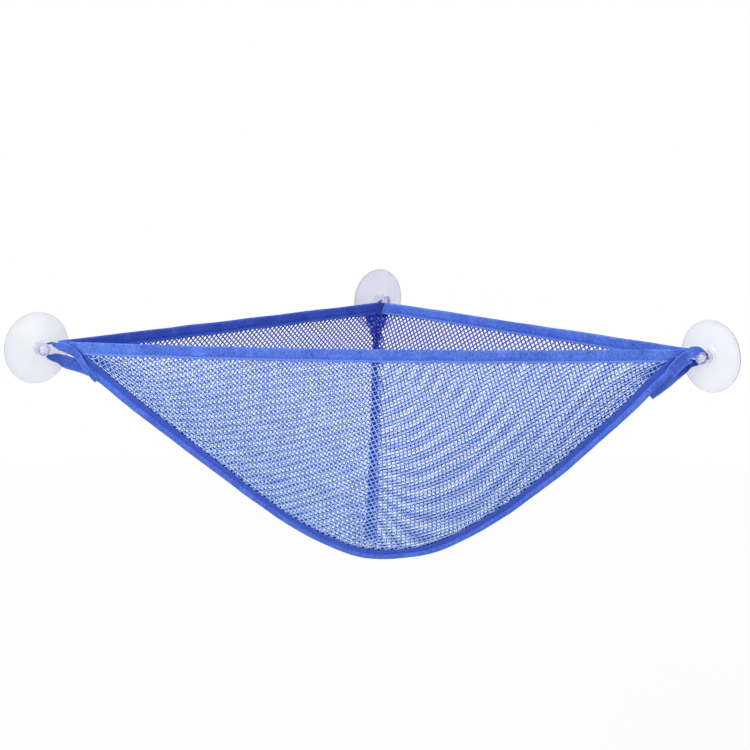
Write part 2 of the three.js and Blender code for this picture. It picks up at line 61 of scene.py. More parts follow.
# Camera, floor and light
cameraLook = {
    "place": (0.0900, -1.4514, 0.22225),
    "yaw": 4.5,
    "pitch": 11.31,
    "roll": 0.22,
    "lens": 77.57,
}
camera = bpy.data.objects.new("camera", bpy.data.cameras.new("camera"))
scene.collection.objects.link(camera)
camera.data.sensor_width = 36
camera.data.lens = cameraLook["lens"]
aim = Matrix.Rotation(math.radians(cameraLook["yaw"]), 4, "Z")
aim = aim @ Matrix.Rotation(math.radians(90 - cameraLook["pitch"]), 4, "X")
aim = aim @ Matrix.Rotation(math.radians(cameraLook["roll"]), 4, "Z")
camera.matrix_world = Matrix.Translation(cameraLook["place"]) @ aim
scene.camera = camera


def hexColour(text):
    shares = [int(text[i:i + 2], 16) / 255 for i in (1, 3, 5)]
    return [s / 12.92 if s <= 0.04045 else ((s + 0.055) / 1.055) ** 2.4 for s in shares] + [1]


def addNode(tree, kind, inputs=None, **settings):
    node = tree.nodes.new(kind)
    for name, value in settings.items():
        setattr(node, name, value)
    for socket, value in (inputs or {}).items():
        if isinstance(value, bpy.types.NodeSocket):
            tree.links.new(value, node.inputs[socket])
        else:
            node.inputs[socket].default_value = value
    return node


def mixColours(tree, share, first, second):
    return addNode(tree, "ShaderNodeMix", {0: share, 6: first, 7: second}, data_type="RGBA").outputs[2]


def newMaterial(name, **sockets):
    material = bpy.data.materials.new(name)
    material.use_nodes = True
    shader = material.node_tree.nodes["Principled BSDF"]
    for socket, value in sockets.items():
        shader.inputs[socket.replace("_", " ")].default_value = value
    return material, material.node_tree, shader


studio = {
    "ambient": 0.55,
    "floorLevel": -0.5,
    "floorSize": 8,
    "floorShade": "#f2f2f4",
    "floorWhite": 0.8,  # share of plain white that the camera sees in it, which is all white further off
    "floorFade": (0.5, 1.6),
}
world = bpy.data.worlds.new("studio")
scene.world = world
world.use_nodes = True
tree = world.node_tree
path = addNode(tree, "ShaderNodeLightPath")
seen = addNode(tree, "ShaderNodeMath", {0: path.outputs["Is Camera Ray"], 1: path.outputs["Is Glossy Ray"]},
               operation="MAXIMUM")
seen = addNode(tree, "ShaderNodeMath", {0: seen.outputs[0], 1: path.outputs["Is Transmission Ray"]},
               operation="MAXIMUM")
level = addNode(tree, "ShaderNodeMapRange", {"Value": seen.outputs[0], "To Min": studio["ambient"],
                                             "To Max": 1.0})
tree.links.new(level.outputs[0], tree.nodes["Background"].inputs["Strength"])
tree.nodes["Background"].inputs["Color"].default_value = (1, 1, 1, 1)

material, tree, shader = newMaterial("studio_floor", Roughness=0.9)
shader.inputs["Base Color"].default_value = hexColour(studio["floorShade"])
path = addNode(tree, "ShaderNodeLightPath")
seen = addNode(tree, "ShaderNodeMath", {0: path.outputs["Is Camera Ray"],
                                        1: path.outputs["Is Transmission Ray"]}, operation="MAXIMUM")
place = addNode(tree, "ShaderNodeTexCoord")
away = addNode(tree, "ShaderNodeVectorMath", {0: place.outputs["Object"]}, operation="LENGTH")
near, far = studio["floorFade"]
fade = addNode(tree, "ShaderNodeMapRange", {"Value": away.outputs["Value"], "From Min": near, "From Max": far,
                                            "To Min": studio["floorWhite"]})
share = addNode(tree, "ShaderNodeMath", {0: seen.outputs[0], 1: fade.outputs[0]}, operation="MULTIPLY")
white = addNode(tree, "ShaderNodeEmission", {"Color": (1, 1, 1, 1), "Strength": 1.0})
mixed = addNode(tree, "ShaderNodeMixShader", {0: share.outputs[0], 1: shader.outputs[0], 2: white.outputs[0]})
tree.links.new(mixed.outputs[0], tree.nodes["Material Output"].inputs["Surface"])

bm = bmesh.new()
bmesh.ops.create_grid(bm, x_segments=1, y_segments=1, size=studio["floorSize"] / 2)
bmesh.ops.translate(bm, verts=bm.verts, vec=(0, 0, studio["floorLevel"]))
mesh = bpy.data.meshes.new("floor")
bm.to_mesh(mesh)
bm.free()
mesh.materials.append(material)
floor = bpy.data.objects.new("floor", mesh)
scene.collection.objects.link(floor)

lampAim = Vector((0, -0.18, -0.06))
lamps = {
    "key": {"place": (-1.15, -1.35, 1.05), "size": 1.0, "watts": 25},
    "fill": {"place": (1.4, -1.1, 0.7), "size": 1.2, "watts": 6},
    "top": {"place": (0.1, 0.2, 1.5), "size": 1.2, "watts": 9},
}
for name, lamp in lamps.items():
    light = bpy.data.lights.new(name, "AREA")
    light.size = lamp["size"]
    light.energy = lamp["watts"]
    holder = bpy.data.objects.new(name, light)
    scene.collection.objects.link(holder)
    holder.location = lamp["place"]
    holder.rotation_euler = (lampAim - holder.location).to_track_quat("-Z", "Y").to_euler()
print("camera, floor and lamps set")


# Materials
# Woven polyester binding tape: dull crossed ribs, a soft bloom of light along its turned edges,
# a shade that wanders a little where the dye took unevenly, and another colour past its stitches:
# on the seam tape a darker one, which is painted shade, and on the rim tapes a little lighter one.
# The inner side of a loop that lies closed on itself is darkened as painted shade.
# The real ribs are 0.5 mm apart, too fine for the picture, so they are drawn at 1.1 mm.
wovenLook = {
    "ribSpacing": 1.1 * mm,
    "ribDepth": 0.25 * mm,
    "patchSize": 14 * mm,
    "fuzzSize": 1.6 * mm,
    "sheen": "#9fb4ff",
    # painted shade for the inner side of a loop that lies closed on itself
    "inner": "#1c3ca6",
    "pastStitchesShare": 0.75,
    "pastStitchesFade": (0.5 * mm, 0.3 * mm),  # before and past the stitches
}


def wovenTape(name, dark, light, pastStitchesColour, edge, girth):
    material, tree, shader = newMaterial(name, Roughness=0.72, Specular_IOR_Level=0.3, Sheen_Weight=0.25,
                                         Sheen_Roughness=0.4)
    shader.inputs["Sheen Tint"].default_value = hexColour(wovenLook["sheen"])
    uv = addNode(tree, "ShaderNodeUVMap", uv_map="cloth")
    scale = math.pi / 10 / wovenLook["ribSpacing"]  # a band of the wave texture is pi/10 wide at scale 1
    warp = addNode(tree, "ShaderNodeTexWave", {"Vector": uv.outputs[0], "Scale": scale, "Distortion": 0.4,
                                               "Detail": 1}, bands_direction="X")
    weft = addNode(tree, "ShaderNodeTexWave", {"Vector": uv.outputs[0], "Scale": scale, "Distortion": 0.4,
                                               "Detail": 1}, bands_direction="Y")
    weave = addNode(tree, "ShaderNodeMath", {0: warp.outputs["Fac"], 1: weft.outputs["Fac"]},
                    operation="MULTIPLY")
    place = addNode(tree, "ShaderNodeTexCoord")
    patch = addNode(tree, "ShaderNodeTexNoise", {"Vector": place.outputs["Object"],
                                                 "Scale": 1 / wovenLook["patchSize"], "Detail": 3})
    fuzz = addNode(tree, "ShaderNodeTexNoise", {"Vector": place.outputs["Object"],
                                                "Scale": 1 / wovenLook["fuzzSize"], "Detail": 2})
    shade = addNode(tree, "ShaderNodeMapRange", {"Value": patch.outputs["Fac"], "From Min": 0.3,
                                                 "From Max": 0.7, "To Min": 0.15, "To Max": 0.6})
    ribs = addNode(tree, "ShaderNodeMath", {0: weave.outputs[0], 1: 0.3, 2: shade.outputs[0]},
                   operation="MULTIPLY_ADD")
    speckle = addNode(tree, "ShaderNodeMapRange", {"Value": fuzz.outputs["Fac"], "From Min": 0.3,
                                                   "From Max": 0.7, "To Min": -0.25, "To Max": 0.35})
    ribs = addNode(tree, "ShaderNodeMath", {0: ribs.outputs[0], 1: speckle.outputs[0]}, operation="ADD",
                   use_clamp=True)
    colour = mixColours(tree, ribs.outputs[0], hexColour(dark), hexColour(light))
    height = addNode(tree, "ShaderNodeMath", {0: fuzz.outputs["Fac"], 1: 0.5, 2: weave.outputs[0]},
                     operation="MULTIPLY_ADD")
    bump = addNode(tree, "ShaderNodeBump", {"Height": height.outputs[0], "Strength": 0.5,
                                            "Distance": wovenLook["ribDepth"]})
    flat = addNode(tree, "ShaderNodeSeparateXYZ", {0: uv.outputs[0]})
    fromFold = addNode(tree, "ShaderNodeMath", {0: flat.outputs["Y"], 1: girth / 2}, operation="SUBTRACT")
    fromFold = addNode(tree, "ShaderNodeMath", {0: fromFold.outputs[0]}, operation="ABSOLUTE")
    stitches = girth / 2 - edge
    before, after = wovenLook["pastStitchesFade"]
    # past the stitches another colour: painted shade on the seam tape, a little lighter on the rim tapes
    past = addNode(tree, "ShaderNodeMapRange", {"Value": fromFold.outputs[0], "From Min": stitches - before,
                                                "From Max": stitches + after,
                                                "To Max": wovenLook["pastStitchesShare"]})
    colour = mixColours(tree, past.outputs[0], colour, hexColour(pastStitchesColour))
    # painted shade: faces that the loops mark take a darker colour
    inner = addNode(tree, "ShaderNodeAttribute", attribute_name="inner")
    colour = mixColours(tree, inner.outputs["Fac"], colour, hexColour(wovenLook["inner"]))
    tree.links.new(colour, shader.inputs["Base Color"])
    tree.links.new(bump.outputs[0], shader.inputs["Normal"])
    return material


# Polyester mesh yarn: many fine filaments, so a silky thread with paler and deeper lengths
# and a slightly hairy surface. Filaments of 0.03 mm are drawn 0.4 mm wide. Doubled mesh is drawn
# as one layer of dark yarn, partly for the cover of its two layers and partly as painted shade in the
# back corner. Its pale spots near the rim, where the openings of its two layers meet, are painted light.
yarnLook = {
    "filamentSize": 0.4 * mm,
    "filamentDepth": 0.15 * mm,
    "lengthSize": 9 * mm,
    "sheen": "#b4c4ff",
    "spotSpacing": 3.2 * mm,
    "spotFade": (-27 * mm, -15 * mm),  # heights of no spots and of full spots
}


def meshYarn(name, dark, light, paintedLightSpots=None):
    material, tree, shader = newMaterial(name, Roughness=0.6, Specular_IOR_Level=0.25, Sheen_Weight=0.15,
                                         Sheen_Roughness=0.5)
    shader.inputs["Sheen Tint"].default_value = hexColour(yarnLook["sheen"])
    place = addNode(tree, "ShaderNodeTexCoord")
    lengths = addNode(tree, "ShaderNodeTexNoise", {"Vector": place.outputs["Object"],
                                                   "Scale": 1 / yarnLook["lengthSize"], "Detail": 2})
    filaments = addNode(tree, "ShaderNodeTexNoise", {"Vector": place.outputs["Object"],
                                                     "Scale": 1 / yarnLook["filamentSize"], "Detail": 2})
    both = addNode(tree, "ShaderNodeMath", {0: filaments.outputs["Fac"], 1: 0.6, 2: lengths.outputs["Fac"]},
                   operation="MULTIPLY_ADD")
    shade = addNode(tree, "ShaderNodeMapRange", {"Value": both.outputs[0], "From Min": 0.5, "From Max": 1.1})
    colour = mixColours(tree, shade.outputs[0], hexColour(dark), hexColour(light))
    # painted light: pale spots where the backdrop shows through both layers
    if paintedLightSpots:
        cells = addNode(tree, "ShaderNodeTexVoronoi", {"Vector": place.outputs["Object"],
                                                       "Scale": 1 / yarnLook["spotSpacing"],
                                                       "Randomness": 0.7})
        spot = addNode(tree, "ShaderNodeMapRange", {"Value": cells.outputs["Distance"], "From Min": 0.4,
                                                    "From Max": 0.2})
        level = addNode(tree, "ShaderNodeSeparateXYZ", {0: place.outputs["Object"]})
        none, full = yarnLook["spotFade"]
        fade = addNode(tree, "ShaderNodeMapRange", {"Value": level.outputs["Z"], "From Min": none,
                                                    "From Max": full})
        spot = addNode(tree, "ShaderNodeMath", {0: spot.outputs[0], 1: fade.outputs[0]}, operation="MULTIPLY")
        colour = mixColours(tree, spot.outputs[0], colour, hexColour(paintedLightSpots))
    bump = addNode(tree, "ShaderNodeBump", {"Height": filaments.outputs["Fac"], "Strength": 0.4,
                                            "Distance": yarnLook["filamentDepth"]})
    tree.links.new(colour, shader.inputs["Base Color"])
    tree.links.new(bump.outputs[0], shader.inputs["Normal"])
    return material


# Clear soft PVC, moulded: glassy and a little milky, with faint flow ripples and a cloudier patch here
# and there, a grey line of painted shade round its thin outer edge, and a whiter hub and head where it is
# thick.
vinylLook = {
    "flowSize": 11 * mm,
    "flowDepth": 0.6 * mm,
    # painted shade round the thin outer edge
    "edge": "#9a9dbc",
    "thick": "#d6d8f0",
    "clearness": (0.82, 0.68),  # of the thin and the thick parts
}


def clearVinyl(name, dark, light):
    material, tree, shader = newMaterial(name, IOR=1.5)
    place = addNode(tree, "ShaderNodeTexCoord")
    flow = addNode(tree, "ShaderNodeTexNoise", {"Vector": place.outputs["Object"],
                                                "Scale": 1 / vinylLook["flowSize"], "Detail": 2})
    colour = mixColours(tree, flow.outputs["Fac"], hexColour(dark), hexColour(light))
    # painted shade: grey towards the thin outer edge
    edge = addNode(tree, "ShaderNodeAttribute", attribute_name="edge")
    colour = mixColours(tree, edge.outputs["Fac"], colour, hexColour(vinylLook["edge"]))
    thick = addNode(tree, "ShaderNodeAttribute", attribute_name="thick")
    colour = mixColours(tree, thick.outputs["Fac"], colour, hexColour(vinylLook["thick"]))
    through = addNode(tree, "ShaderNodeMapRange", {"Value": thick.outputs["Fac"],
                                                   "To Min": vinylLook["clearness"][0],
                                                   "To Max": vinylLook["clearness"][1]})
    rough = addNode(tree, "ShaderNodeMapRange", {"Value": flow.outputs["Fac"], "From Min": 0.3,
                                                 "From Max": 0.7, "To Min": 0.12, "To Max": 0.24})
    bump = addNode(tree, "ShaderNodeBump", {"Height": flow.outputs["Fac"], "Strength": 0.25,
                                            "Distance": vinylLook["flowDepth"]})
    tree.links.new(colour, shader.inputs["Base Color"])
    tree.links.new(through.outputs[0], shader.inputs["Transmission Weight"])
    tree.links.new(rough.outputs[0], shader.inputs["Roughness"])
    tree.links.new(bump.outputs[0], shader.inputs["Normal"])
    return material


rimBlue = wovenTape("polyester_rim_tape", "#2f4eb6", "#6086e4", "#668ce8", edge=2.0 * mm, girth=21.7 * mm)
shadedRim = wovenTape("polyester_rim_tape_shaded", "#2039a6", "#4264cc", "#4468d0", edge=2.0 * mm,
                      girth=21.7 * mm)
# painted shade: the seam tape's darker colour past its stitches, on its flat flange
seamBlue = wovenTape("polyester_seam_tape", "#2f4cb6", "#587cdc", "#2842ac", edge=4.4 * mm, girth=22.6 * mm)
loopBlue = wovenTape("polyester_loop_tape", "#2b47ae", "#5478d6", "#5c80de", edge=0.8 * mm, girth=10 * mm)
netBlue = meshYarn("polyester_mesh", "#6290e2", "#aaccfd")
shadedBlue = meshYarn("polyester_mesh_shaded", "#263ca4", "#4c68c8")
# painted shade: dark yarn of the doubled corner strip in the back corner, with pale spots of painted light
doubledShadedBlue = meshYarn("polyester_mesh_doubled_shaded", "#07188e", "#1e38be", "#7a90e4")
threadBlue = meshYarn("sewing_thread", "#2b45ae", "#4f6cd4")
# dark thread of the corner strip's stitches, and painted shadow along the lapped rim tape's cut end
darkThreadAndShadow = meshYarn("sewing_thread_dark_and_painted_shadow", "#081058", "#16227c")
vinyl = clearVinyl("clear_vinyl", "#f0f2fd", "#fbfcff")
# painted shade: a darker copy of the clear vinyl for the back cup
shadedVinyl = clearVinyl("clear_vinyl_shaded", "#dedff0", "#eeeffa")
print("materials made")


# Finished pieces
def addPiece(bm, name, material, node, body=None):
    mesh = bpy.data.meshes.new(name)
    bm.to_mesh(mesh)
    bm.free()
    mesh.materials.append(material)
    mesh.shade_smooth()
    piece = bpy.data.objects.new(name, mesh)
    scene.collection.objects.link(piece)
    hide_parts(node)
    if body:
        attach(piece, body)
    return piece


# A grid of cloth laid on a surface, which gives the point at a share of its length and a share of its width
def clothGrid(surface, columns, rows, size, thickness):
    bm = bmesh.new()
    cloth = bm.loops.layers.uv.new("cloth")
    bmesh.ops.create_grid(bm, x_segments=columns, y_segments=rows, size=0.5)
    for face in bm.faces:
        for loop in face.loops:
            loop[cloth].uv = ((loop.vert.co.x + 0.5) * size[0], (loop.vert.co.y + 0.5) * size[1])
    for vert in bm.verts:
        vert.co = surface(vert.co.x + 0.5, vert.co.y + 0.5)
    bm.normal_update()
    bmesh.ops.solidify(bm, geom=bm.faces[:], thickness=thickness)
    return bm


def quadratic(a, b, c, t):
    return a.lerp(b, t).lerp(b.lerp(c, t), t)


def cubic(a, b, c, d, t):
    return quadratic(a, b, c, t).lerp(quadratic(b, c, d, t), t)


def smooth(value):
    value = min(max(value, 0), 1)
    return value * value * (3 - 2 * value)


def pathLength(points):
    return sum((b - a).length for a, b in zip(points, points[1:]))


def evenly(points, count):  # the same path in equal steps
    step = pathLength(points) / count
    made = [points[0].copy()]
    left = step
    for a, b in zip(points, points[1:]):
        length = (b - a).length
        done = 0
        while length - done >= left and len(made) < count:
            done += left
            made.append(a.lerp(b, done / length))
            left = step
        left -= length - done
    return made + [points[-1].copy()]


def between(stations, share):  # the vectors of a row of stations at a share of its length
    place = min(max(share, 0), 1) * (len(stations) - 1)
    i = min(int(place), len(stations) - 2)
    return [a.lerp(b, place - i) for a, b in zip(stations[i], stations[i + 1])]


# Shape of the bag, from the corners that its loops fold at
bagShape = {
    "rimSag": 3.5 * mm,
    "seamSlope": (math.radians(40.5), math.radians(47.6)),  # left and right side
    "seamStraight": (165 * mm, 33 * mm),
    "seamRounding": (150 * mm, 250 * mm),
    "seamSetback": 32 * mm,
    "seamLean": math.radians(30),
    "tapeWidth": 10 * mm,
    "netPlace": 0.55 * mm,
    "pastTape": 1.1 * mm,
    "belly": math.radians(11),
    "wall": math.radians(68),
    "floor": math.radians(24),
    "netHandle": 0.34,
    "netStart": 20 * mm,
    "columnSteps": 24,
    "underTape": 7 * mm,  # of the mesh, past a tape's open edge
}
tapeWidth = bagShape["tapeWidth"]
leftCorner = Vector(joints["left_loop_fold"]["pos_m"])
rightCorner = Vector(joints["right_loop_fold"]["pos_m"])
backCorner = Vector(joints["back_loop_fold"]["pos_m"])
frontMiddle = leftCorner.lerp(rightCorner, 0.5)
frontSpan = (rightCorner - leftCorner).length
rimway = (rightCorner - leftCorner).normalized()
backward = up.cross(rimway)
forward = -backward
leftToBack = (backCorner - leftCorner).normalized()
backToRight = (rightCorner - backCorner).normalized()

bends = []
handles = []
for k, (corner, run) in enumerate(((leftCorner, rimway), (rightCorner, -rimway))):
    way = run * math.cos(bagShape["seamSlope"][k]) - up * math.sin(bagShape["seamSlope"][k])
    bends.append(corner + way * bagShape["seamStraight"][k])
    handles.append(bends[k] + way * bagShape["seamRounding"][k])
bendSteps = 120
seamSteps = 320
seamPath = [cubic(bends[0], handles[0], handles[1], bends[1], i / bendSteps) for i in range(bendSteps + 1)]
seamPath = evenly([leftCorner, *seamPath, rightCorner], seamSteps)
seamPath = [p + backward * bagShape["seamSetback"] * math.sin(math.pi * i / seamSteps) ** 2
            for i, p in enumerate(seamPath)]
seamLength = pathLength(seamPath)


def frontRim(share):
    return quadratic(leftCorner, frontMiddle - up * 2 * bagShape["rimSag"], rightCorner, share)


def backRim(share):
    if share < 0.5:
        return leftCorner.lerp(backCorner, 2 * share)
    return backCorner.lerp(rightCorner, 2 * share - 1)


def seamFrame(share):  # point, direction, inward across the tape, back through it
    place = min(max(share, 0), 1) * seamSteps
    i = min(int(place), seamSteps - 1)
    point = seamPath[i].lerp(seamPath[i + 1], place - i)
    along = (seamPath[min(i + 2, seamSteps)] - seamPath[max(i - 1, 0)]).normalized()
    lean = bagShape["seamLean"] * math.sin(math.pi * share)
    inward = forward * math.sin(lean) + up * math.cos(lean)
    inward = (inward - along * inward.dot(along)).normalized()
    return point, along, inward, inward.cross(along)


# Mesh panels. A column runs from under the rim's tape down to under the seam's tape,
# and leaves each of them in its own direction.
def panelColumn(top, topWay, bottom, bottomWay, inward):
    reach = bagShape["netHandle"] * (top - bottom).length
    steps = bagShape["columnSteps"]
    span = [cubic(top, top + topWay * reach, bottom + bottomWay * reach, bottom, i / steps)
            for i in range(steps + 1)]
    tucked = bagShape["underTape"] + bagShape["pastTape"]
    return [top + up * tucked, *span, bottom - inward * tucked]


def frontColumn(share):
    point, _, inward, back = seamFrame(share)
    bottom = point + inward * (tapeWidth + bagShape["pastTape"]) - back * bagShape["netPlace"]
    rimPoint = frontRim((bottom - leftCorner).dot(rimway) / frontSpan)
    top = rimPoint - up * (tapeWidth / 2 + bagShape["pastTape"])
    swell = bagShape["belly"] * math.sin(math.pi * share)
    return panelColumn(top, forward * math.sin(swell) - up * math.cos(swell), bottom, inward, inward)


def backColumn(share):
    point, _, inward, back = seamFrame(share)
    bottom = point + inward * (tapeWidth + bagShape["pastTape"]) + back * bagShape["netPlace"]
    top = backRim(share) - up * (tapeWidth / 2 + bagShape["pastTape"])
    level = Vector((top.x - bottom.x, top.y - bottom.y, 0)).normalized()
    floorWay = level * math.cos(bagShape["floor"]) + up * math.sin(bagShape["floor"])
    wallWay = level * math.cos(bagShape["wall"]) + up * math.sin(bagShape["wall"])
    return panelColumn(top, -wallWay, bottom, floorWay, inward)


def layFlat(columns, run):  # each column's points by their place along the rim and their distance below it
    flat = []
    for column in columns:
        low = column[0].z
        row = [Vector((column[0].dot(run), low, 0))]
        for a, b in zip(column, column[1:]):
            step = b - a
            low -= math.sqrt(max(step.length_squared - step.dot(run) ** 2, 0))
            row.append(Vector((b.dot(run), low, 0)))
        flat.append(row)
    return flat


# A square mesh of threads on a sheet of columns: a turned grid on the flat layout, carried over to the shape
def threadMesh(columns, flat, look):
    rows = len(columns[0])
    points = [point for column in columns for point in column]
    spread = [point for column in flat for point in column]
    corners = []
    for i in range(len(columns) - 1):
        for a in range(i * rows, i * rows + rows - 1):
            corners += [(a, a + 1, a + rows), (a + 1, a + rows + 1, a + rows)]
    tree = BVHTree.FromPolygons(spread, corners)
    low = Vector([min(p[k] for p in spread) for k in range(3)])
    high = Vector([max(p[k] for p in spread) for k in range(3)])
    count = math.ceil((high - low).length / min(look["pitch"]))
    bm = bmesh.new()
    bmesh.ops.create_grid(bm, x_segments=count, y_segments=count, size=count / 2)
    bmesh.ops.scale(bm, vec=(*look["pitch"], 1), verts=bm.verts)
    turn = Matrix.Rotation(math.radians(look["turn"]), 3, "Z")
    bmesh.ops.rotate(bm, verts=bm.verts, cent=(0, 0, 0), matrix=turn)
    bmesh.ops.translate(bm, verts=bm.verts, vec=(low + high) / 2)
    outside = []
    for vert in bm.verts:
        slack = noise.noise_vector(vert.co / look["slackSize"]) * look["slack"]
        hit, _, index, _ = tree.ray_cast(vert.co + Vector((slack.x, slack.y, 1)), -up)
        if index is None:
            outside.append(vert)
            continue
        a, b, c = corners[index]
        vert.co = barycentric_transform(hit, spread[a], spread[b], spread[c], points[a], points[b], points[c])
    bmesh.ops.delete(bm, geom=outside, context="VERTS")
    bmesh.ops.delete(bm, geom=[edge for edge in bm.edges if not edge.link_faces], context="EDGES")
    bm.normal_update()
    cells = bm.faces[:]
    bmesh.ops.inset_individual(bm, faces=cells, thickness=look["thread"] / 2, use_even_offset=True)
    bmesh.ops.delete(bm, geom=cells, context="FACES")
    bm.normal_update()
    bmesh.ops.solidify(bm, geom=bm.faces[:], thickness=look["depth"])
    return bm


def panelArea(columns):
    area = 0
    for left, right in zip(columns, columns[1:]):
        for a, b, c, d in zip(left, left[1:], right[1:], right):
            area += ((b - a).cross(c - a).length + (c - a).cross(d - a).length) / 2
    return area


netLook = {"depth": 0.95 * mm, "slack": 0.6 * mm, "slackSize": 40 * mm, "columns": 64}
netPanels = {  # a back panel's lap goes past the corner, onto the other wall
    "front_net": {"column": frontColumn, "run": rimway, "ends": (0, 1), "lap": 0,
                  "pitch": (3.45 * mm, 3.45 * mm), "thread": 0.6 * mm, "turn": 24, "material": netBlue},
    "left_net": {"column": backColumn, "run": leftToBack, "ends": (0, 0.5), "lap": 2 * mm,
                 "pitch": (3.86 * mm, 2.52 * mm), "thread": 0.74 * mm, "turn": 37.6, "material": shadedBlue},
    "right_net": {"column": backColumn, "run": backToRight, "ends": (0.5, 1), "lap": -6 * mm,
                  "pitch": (3.55 * mm, 3.55 * mm), "thread": 0.78 * mm, "turn": 37, "material": shadedBlue},
}
netMargin = bagShape["netStart"] / seamLength
for node, panel in netPanels.items():
    first = max(panel["ends"][0], netMargin)
    last = min(panel["ends"][1], 1 - netMargin)
    count = netLook["columns"]
    columns = [panel["column"](first + (last - first) * i / count) for i in range(count + 1)]
    flat = layFlat(columns, panel["run"])
    if panel["lap"] > 0:
        columns.append([point + backToRight * panel["lap"] for point in columns[-1]])
        flat.append([point + Vector((panel["lap"], 0, 0)) for point in flat[-1]])
    if panel["lap"] < 0:
        columns.insert(0, [point + leftToBack * panel["lap"] for point in columns[0]])
        flat.insert(0, [point + Vector((panel["lap"], 0, 0)) for point in flat[0]])
    bm = threadMesh(columns, flat, {**netLook, **panel})
    piece = addPiece(bm, node + "_threads", panel["material"], node, "bag")
    spread = [point for row in flat for point in row]
    wide = max(p.x for p in spread) - min(p.x for p in spread)
    tall = max(p.y for p in spread) - min(p.y for p in spread)
    area = panelArea(columns)
    print(node, "of", len(piece.data.polygons), "faces,", round(wide, 3), "by", round(tall, 3), "m")


# Folded tapes. The section runs from one open edge over the fold to the other, on the tape's outer face.
tapeLook = {
    "endHalf": 0.7 * mm,  # squeezed flat at the corners
    "endRun": 14 * mm,
    "thickness": 0.7 * mm,
    "dimple": 0.3 * mm,  # along the stitches
    "dimpleWidth": 0.8 * mm,
    "shoulder": 2.5 * mm,  # from the flat flange to the full fold
    "puckerSize": 6 * mm,
    "step": 1.6 * mm,
    "rows": 26,
}
rimTape = {"half": 1.5 * mm, "flange": 1.0 * mm, "stitchLine": 2.0 * mm, "wave": 0.4 * mm,
           "waveSize": 30 * mm, "pucker": 0.15 * mm}
seamTape = {"half": 2.3 * mm, "flange": 1.2 * mm, "stitchLine": 4.4 * mm, "wave": 0.9 * mm,
            "waveSize": 26 * mm, "pucker": 0.3 * mm}


def foldedTape(stations, look, length):
    def surface(u, w):
        edge, foldward, sideways = between(stations, u)
        squeeze = smooth(min(u, 1 - u) * length / tapeLook["endRun"])
        half = tapeLook["endHalf"] + (look["half"] - tapeLook["endHalf"]) * squeeze
        straight = tapeWidth - half
        run = w * (2 * straight + math.pi * half)
        if run < straight:
            x, y = -half, run
        elif run < straight + math.pi * half:
            turn = (run - straight) / half
            x, y = -half * math.cos(turn), straight + half * math.sin(turn)
        else:
            x, y = half, 2 * straight + math.pi * half - run
        flange = min(look["flange"] / half, 1)
        x *= flange + (1 - flange) * smooth((y - look["stitchLine"]) / tapeLook["shoulder"])
        dimple = math.exp(-((y - look["stitchLine"]) / tapeLook["dimpleWidth"]) ** 2)
        dimple *= tapeLook["dimple"] * squeeze
        x -= math.copysign(min(dimple, abs(x)), x)
        point = edge + sideways * x + foldward * y
        wave = noise.noise_vector(edge / look["waveSize"]) * look["wave"] * squeeze
        pucker = noise.noise(point / tapeLook["puckerSize"]) * look["pucker"]
        return point + wave + sideways * math.copysign(pucker, x)
    return surface


def addTape(node, stations, look, material):
    length = pathLength([station[0] for station in stations])
    girth = 2 * tapeWidth + (math.pi - 2) * look["half"]
    surface = foldedTape(stations, look, length)
    columns = round(length / tapeLook["step"])
    bm = clothGrid(surface, columns, tapeLook["rows"], (length, girth), tapeLook["thickness"])
    piece = addPiece(bm, node.replace("_binding", "_tape"), material, node, "bag")
    return surface, length, look["stitchLine"] / girth


def rimStations(points, count, slant):  # slant leans the cut end at the start of the tape
    stations = []
    points = evenly(points, count)
    for i, point in enumerate(points):
        along = (points[min(i + 1, count)] - points[max(i - 1, 0)]).normalized()
        foldward = (up - along * up.dot(along)).normalized()
        sideways = foldward.cross(along)
        foldward = foldward + along * slant * (1 - smooth(i / count / rimEnds["slantShare"]))
        stations.append((point - foldward * tapeWidth / 2, foldward, sideways))
    return stations


def seamStations(first, last, count, narrowed, narrowRun):  # narrowed at the left end, under the loop
    stations = []
    for i in range(count + 1):
        share = first + (last - first) * i / count
        point, along, inward, _ = seamFrame(share)
        widthShare = 1 - narrowed / tapeWidth * (1 - smooth((share * seamLength - narrowRun) / narrowRun))
        stations.append((point + inward * tapeWidth, -inward * widthShare, -inward.cross(along)))
    return stations


rimEnds = {  # where the tapes stop short of the corners, and how the right one laps over the left at the back
    "left": 7 * mm,
    "leftSlant": -1.05,
    "right": 1.5 * mm,
    "back": 1.5 * mm,
    "lap": 5 * mm,
    "lapLift": 3.4 * mm,
    "lapBulge": 1.2,
    "lapStraight": 0.4,  # share of the way to the bulge
    "lapTurn": 6 * mm,
    "lapRun": 24 * mm,
    "lapSlant": 0.5,
    "slantShare": 1 / 16,
}
seamEnds = {"first": 0.006, "last": 0.994, "count": 300, "narrowed": 3.6 * mm, "narrowRun": 17 * mm}
frontRun = frontSpan - rimEnds["left"] - rimEnds["right"]
sagSteps = 60
frontPath = [frontRim((rimEnds["left"] + frontRun * i / sagSteps) / frontSpan) for i in range(sagSteps + 1)]
inside = (leftToBack.cross(up) + backToRight.cross(up)).normalized()
leftPath = [leftCorner + leftToBack * rimEnds["left"], backCorner - leftToBack * rimEnds["back"]]
lap = backCorner - leftToBack * rimEnds["lap"] + leftToBack.cross(up) * rimEnds["lapLift"]
turned = backCorner + inside * rimEnds["lapLift"] * rimEnds["lapBulge"]
bendStart = lap.lerp(turned, rimEnds["lapStraight"])
bendEnd = turned + backToRight * rimEnds["lapTurn"]
lapSteps = 8
rightPath = [lap, *[quadratic(bendStart, turned, bendEnd, i / lapSteps) for i in range(lapSteps + 1)],
             backCorner + backToRight * rimEnds["lapRun"], rightCorner - backToRight * rimEnds["right"]]

